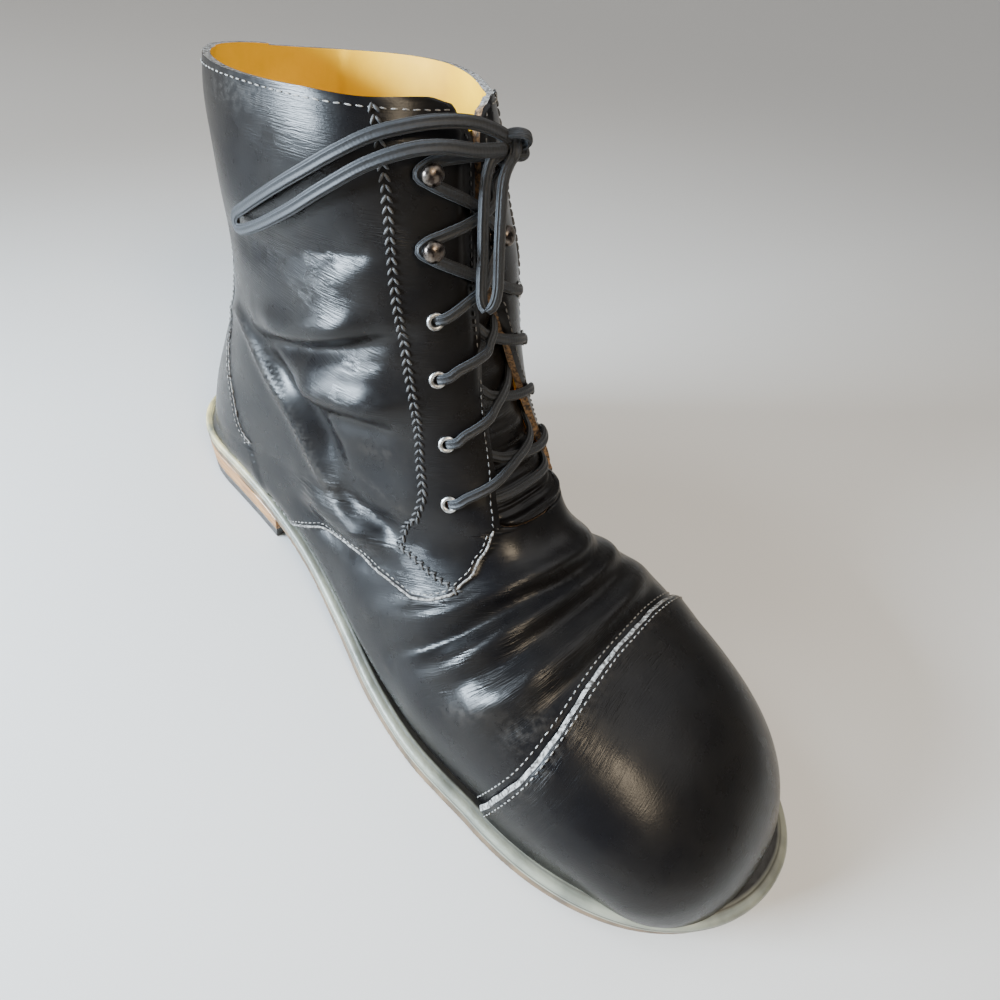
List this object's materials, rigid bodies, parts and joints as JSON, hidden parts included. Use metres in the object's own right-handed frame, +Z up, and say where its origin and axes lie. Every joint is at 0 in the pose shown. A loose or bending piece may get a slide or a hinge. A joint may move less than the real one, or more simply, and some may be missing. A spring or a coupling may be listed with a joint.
{
  "type": "combat boot",
  "caption": "Right laced ankle boot in black leather: hollow creased upper, toe cap, tongue, eyelets and ball hooks, tied flat laces, welted rubber sole with a stacked heel.",
  "frame": {"origin": "on the ground, under the centre of the boot's box, bow of the laces not counted", "axes": "+X towards the toe, +Y towards the medial (inner) side of this right boot, +Z up"},
  "size_m": [0.3, 0.1132, 0.2021],
  "materials": {
    "upper_leather": "smooth black full-grain leather, semi-gloss, creased by wear",
    "lining": "yellow-tan leather lining, matt",
    "welt_edge": "waxed welt with a worn pale edge",
    "sole_rubber": "matt dark rubber",
    "heel_stack": "stacked brown leather, waxed",
    "eyelet_nickel": "worn nickel plate",
    "hook_bronze": "dark gunmetal plate, polished by use",
    "lace_cord": "flat braided cotton, charcoal blue"
  },
  "bodies": {
    "root": {"upper": "upper_leather", "tongue": "upper_leather", "toe_cap": "upper_leather", "insole": "lining", "welt": "welt_edge", "outsole": "sole_rubber", "heel": "heel_stack", "top_lift": "sole_rubber", "eyelet_lateral_1": "eyelet_nickel", "eyelet_lateral_2": "eyelet_nickel", "eyelet_lateral_3": "eyelet_nickel", "eyelet_lateral_4": "eyelet_nickel", "hook_lateral_1": "hook_bronze", "hook_lateral_2": "hook_bronze", "eyelet_medial_1": "eyelet_nickel", "eyelet_medial_2": "eyelet_nickel", "eyelet_medial_3": "eyelet_nickel", "eyelet_medial_4": "eyelet_nickel", "hook_medial_1": "hook_bronze", "hook_medial_2": "hook_bronze", "lace_cross_1": "lace_cord", "lace_cross_2": "lace_cord", "lace_cross_3": "lace_cord", "lace_cross_4": "lace_cord", "lace_cross_5": "lace_cord", "lace_knot": "lace_cord", "lace_loop_back": "lace_cord", "lace_loop_front": "lace_cord"}
  },
  "joints": []
}
